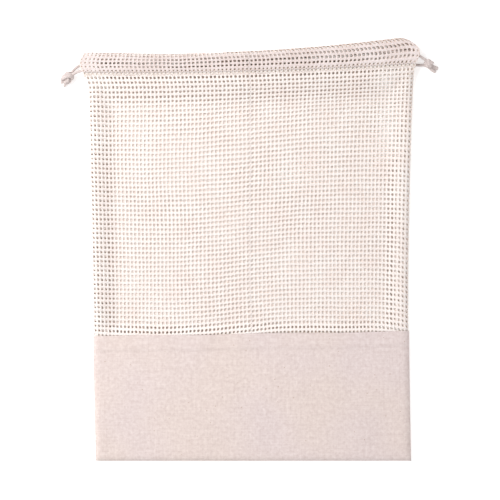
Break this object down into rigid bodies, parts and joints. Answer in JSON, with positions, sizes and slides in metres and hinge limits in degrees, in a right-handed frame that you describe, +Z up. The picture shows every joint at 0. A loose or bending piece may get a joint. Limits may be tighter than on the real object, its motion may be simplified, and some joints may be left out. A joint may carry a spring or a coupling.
{
  "type": "mesh laundry bag",
  "caption": "Flat cotton mesh laundry bag with a canvas base, inside seams, and a doubled drawcord in a mouth casing, knotted at each side.",
  "frame": {"origin": "on the table that the bag lies on, under the middle of its box", "axes": "+X across the bag to the right as seen from above, +Y up the bag from its canvas base to its mouth, +Z up from the table"},
  "size_m": [0.4618, 0.5076, 0.0162],
  "materials": {
    "cotton_net": "open cotton net, undyed, matt",
    "cotton_canvas": "plain-woven cotton, undyed, with fine flecks, matt",
    "cotton_cord": "braided cotton cord, undyed, matt",
    "sewing_thread": "undyed sewing thread"
  },
  "bodies": {
    "root": {"front_net_panel": "cotton_net", "back_net_panel": "cotton_net", "front_casing": "cotton_net", "back_casing": "cotton_net", "front_casing_hem": "cotton_net", "back_casing_hem": "cotton_net", "left_net_seam_allowance": "cotton_net", "right_net_seam_allowance": "cotton_net", "front_canvas_panel": "cotton_canvas", "back_canvas_panel": "cotton_canvas", "left_canvas_seam_allowance": "cotton_canvas", "right_canvas_seam_allowance": "cotton_canvas", "bottom_seam_allowance": "cotton_canvas", "front_join_seam_allowance": "cotton_canvas", "back_join_seam_allowance": "cotton_canvas", "front_casing_stitching": "sewing_thread", "back_casing_stitching": "sewing_thread", "front_join_stitching": "sewing_thread", "back_join_stitching": "sewing_thread", "left_side_stitching": "sewing_thread", "right_side_stitching": "sewing_thread", "bottom_stitching": "sewing_thread", "left_slit_backstitch": "sewing_thread", "right_slit_backstitch": "sewing_thread"},
    "left_cord": {"left_drawcord": "cotton_cord", "left_knot": "cotton_cord", "left_cord_ends": "cotton_cord", "right_mouth_corner": "cotton_net"},
    "right_cord": {"right_drawcord": "cotton_cord", "right_knot": "cotton_cord", "right_cord_ends": "cotton_cord", "left_mouth_corner": "cotton_net"}
  },
  "joints": [
    {"name": "left_cord_pull", "type": "slide", "parent": "root", "child": "left_cord", "axis": [-0.9993, -0.0384, 0], "range_m": [0, 0.08], "deforming": ["front_casing", "back_casing"]},
    {"name": "right_cord_pull", "type": "slide", "parent": "root", "child": "right_cord", "axis": [0.9993, 0.0384, 0], "range_m": [0, 0.08], "deforming": ["front_casing", "back_casing"]}
  ]
}
